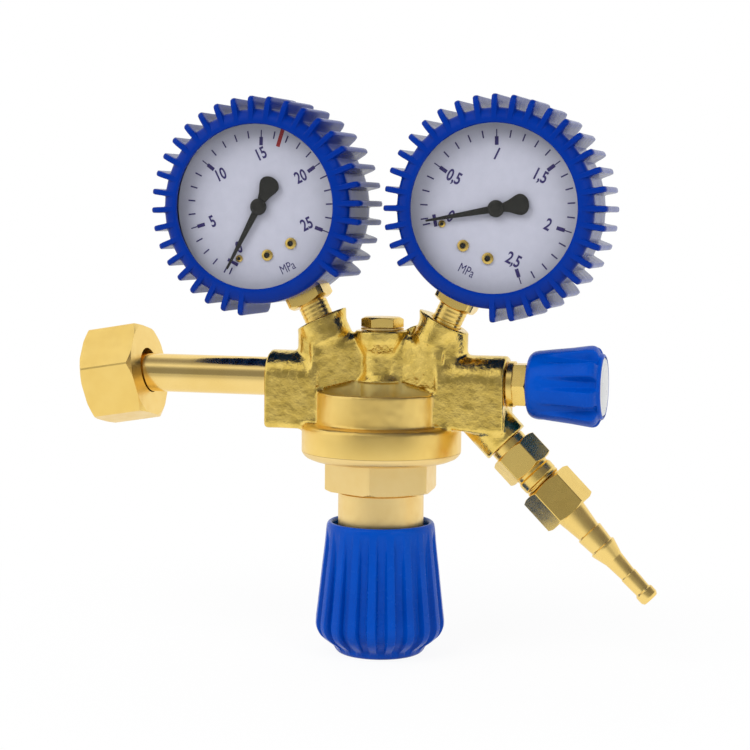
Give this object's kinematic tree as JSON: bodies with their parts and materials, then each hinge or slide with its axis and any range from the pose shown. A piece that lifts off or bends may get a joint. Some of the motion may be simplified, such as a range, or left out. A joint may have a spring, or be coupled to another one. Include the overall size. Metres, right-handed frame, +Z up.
{
  "type": "gas pressure regulator",
  "caption": "Brass gas cylinder regulator with a hexagon inlet nut, two tilted gauges in finned blue boots, a ribbed adjusting knob below, an outlet valve and a hose tail.",
  "frame": {"origin": "centre of the inlet gasket face, on the inlet pipe axis", "axes": "+X along the inlet pipe into the body, +Z up the valve column towards the gauges, -Y the side that the dials face"},
  "size_m": [0.2069, 0.0558, 0.1947],
  "materials": {
    "forged_brass": "forged, bright dipped",
    "machined_brass": "turned",
    "steel": "bright",
    "knob_blue": "moulded satin",
    "boot_blue": "moulded soft rubber",
    "case_steel": "pressed and painted",
    "lens_clear": "clear",
    "dial_white": "matt white",
    "pointer_black": "matt black",
    "rubber": "moulded",
    "fibre": "pressed fibre",
    "cap_white": "moulded"
  },
  "bodies": {
    "regulator": {"inlet_gasket": "fibre", "inlet_pipe": "machined_brass", "inlet_filter": "steel", "body": "forged_brass", "top_plug": "machined_brass", "plug_washer": "steel", "valve_seat": "machined_brass", "poppet_spring": "steel", "diaphragm": "rubber", "slip_ring": "steel", "bonnet": "machined_brass", "main_spring": "steel", "relief_valve_disc": "rubber", "relief_valve_spring": "steel", "relief_valve_cap": "machined_brass", "inlet_gauge_socket": "machined_brass", "inlet_gauge_case": "case_steel", "inlet_gauge_boot": "boot_blue", "inlet_gauge_lens": "lens_clear", "inlet_gauge_dial": "dial_white", "inlet_gauge_bourdon_tube": "machined_brass", "inlet_gauge_movement_frame": "machined_brass", "outlet_gauge_socket": "machined_brass", "outlet_gauge_case": "case_steel", "outlet_gauge_boot": "boot_blue", "outlet_gauge_lens": "lens_clear", "outlet_gauge_dial": "dial_white", "outlet_gauge_bourdon_tube": "machined_brass", "outlet_gauge_movement_frame": "machined_brass", "spindle_seal": "rubber", "outlet_valve_bonnet": "machined_brass", "outlet_adapter": "machined_brass", "outlet_nut": "machined_brass", "hose_barb": "machined_brass"},
    "inlet_nut": {"inlet_nut": "machined_brass"},
    "spring_carrier": {"spring_button": "steel"},
    "adjuster": {"adjusting_screw": "steel", "adjusting_knob": "knob_blue"},
    "valve_train": {"valve_poppet": "machined_brass", "push_pin": "steel", "diaphragm_plate": "machined_brass"},
    "valve_stem": {"outlet_valve_plug": "machined_brass"},
    "handwheel": {"outlet_valve_spindle": "steel", "handwheel": "knob_blue", "handwheel_cap": "cap_white"},
    "inlet_pointer": {"inlet_gauge_pointer": "pointer_black", "inlet_gauge_pointer_arbor": "steel"},
    "outlet_pointer": {"outlet_gauge_pointer": "pointer_black", "outlet_gauge_pointer_arbor": "steel"},
    "inlet_sector": {"inlet_gauge_sector_gear": "machined_brass"},
    "outlet_sector": {"outlet_gauge_sector_gear": "machined_brass"}
  },
  "joints": [
    {"name": "inlet_nut_spin", "type": "hinge", "parent": "regulator", "child": "inlet_nut", "pos_m": [0.006, 0, 0], "axis": [0.9863, 0, 0.165], "continuous": true},
    {"name": "spring_button_slide", "type": "slide", "parent": "regulator", "child": "spring_carrier", "axis": [0, 0, 1], "range_m": [0, 0.006], "deforming": ["main_spring"]},
    {"name": "adjuster_turn", "type": "hinge", "parent": "spring_carrier", "child": "adjuster", "pos_m": [0.098, 0, -0.07], "axis": [0, 0, 1], "range_deg": [0, 1440.01]},
    {"name": "valve_lift", "type": "slide", "parent": "regulator", "child": "valve_train", "axis": [0, 0, 1], "range_m": [0, 0.0008001], "deforming": ["poppet_spring", "diaphragm"]},
    {"name": "valve_stem_slide", "type": "slide", "parent": "regulator", "child": "valve_stem", "axis": [1, 0, 0], "range_m": [0, 0.002]},
    {"name": "handwheel_turn", "type": "hinge", "parent": "valve_stem", "child": "handwheel", "pos_m": [0.16, 0, 0], "axis": [1, 0, 0], "range_deg": [0, 720.01]},
    {"name": "inlet_pointer_turn", "type": "hinge", "parent": "regulator", "child": "inlet_pointer", "pos_m": [0.05596, 0, 0.05995], "axis": [0, 1, 0], "range_deg": [0, 261]},
    {"name": "inlet_sector_turn", "type": "hinge", "parent": "regulator", "child": "inlet_sector", "pos_m": [0.06078, 0, 0.05006], "axis": [0, 1, 0], "range_deg": [-43, 0]},
    {"name": "outlet_pointer_turn", "type": "hinge", "parent": "regulator", "child": "outlet_pointer", "pos_m": [0.14004, 0, 0.05995], "axis": [0, 1, 0], "range_deg": [0, 261]},
    {"name": "outlet_sector_turn", "type": "hinge", "parent": "regulator", "child": "outlet_sector", "pos_m": [0.13522, 0, 0.05006], "axis": [0, 1, 0], "range_deg": [-43, 0]}
  ],
  "couplings": [
    {"joint": "adjuster_turn", "follows": "spring_button_slide", "rad_per_m": 4188.8},
    {"joint": "valve_lift", "follows": "spring_button_slide", "ratio": 0.13333},
    {"joint": "handwheel_turn", "follows": "valve_stem_slide", "rad_per_m": 6283.2},
    {"joint": "inlet_sector_turn", "follows": "inlet_pointer_turn", "ratio": -0.15789},
    {"joint": "outlet_sector_turn", "follows": "outlet_pointer_turn", "ratio": -0.15789}
  ]
}
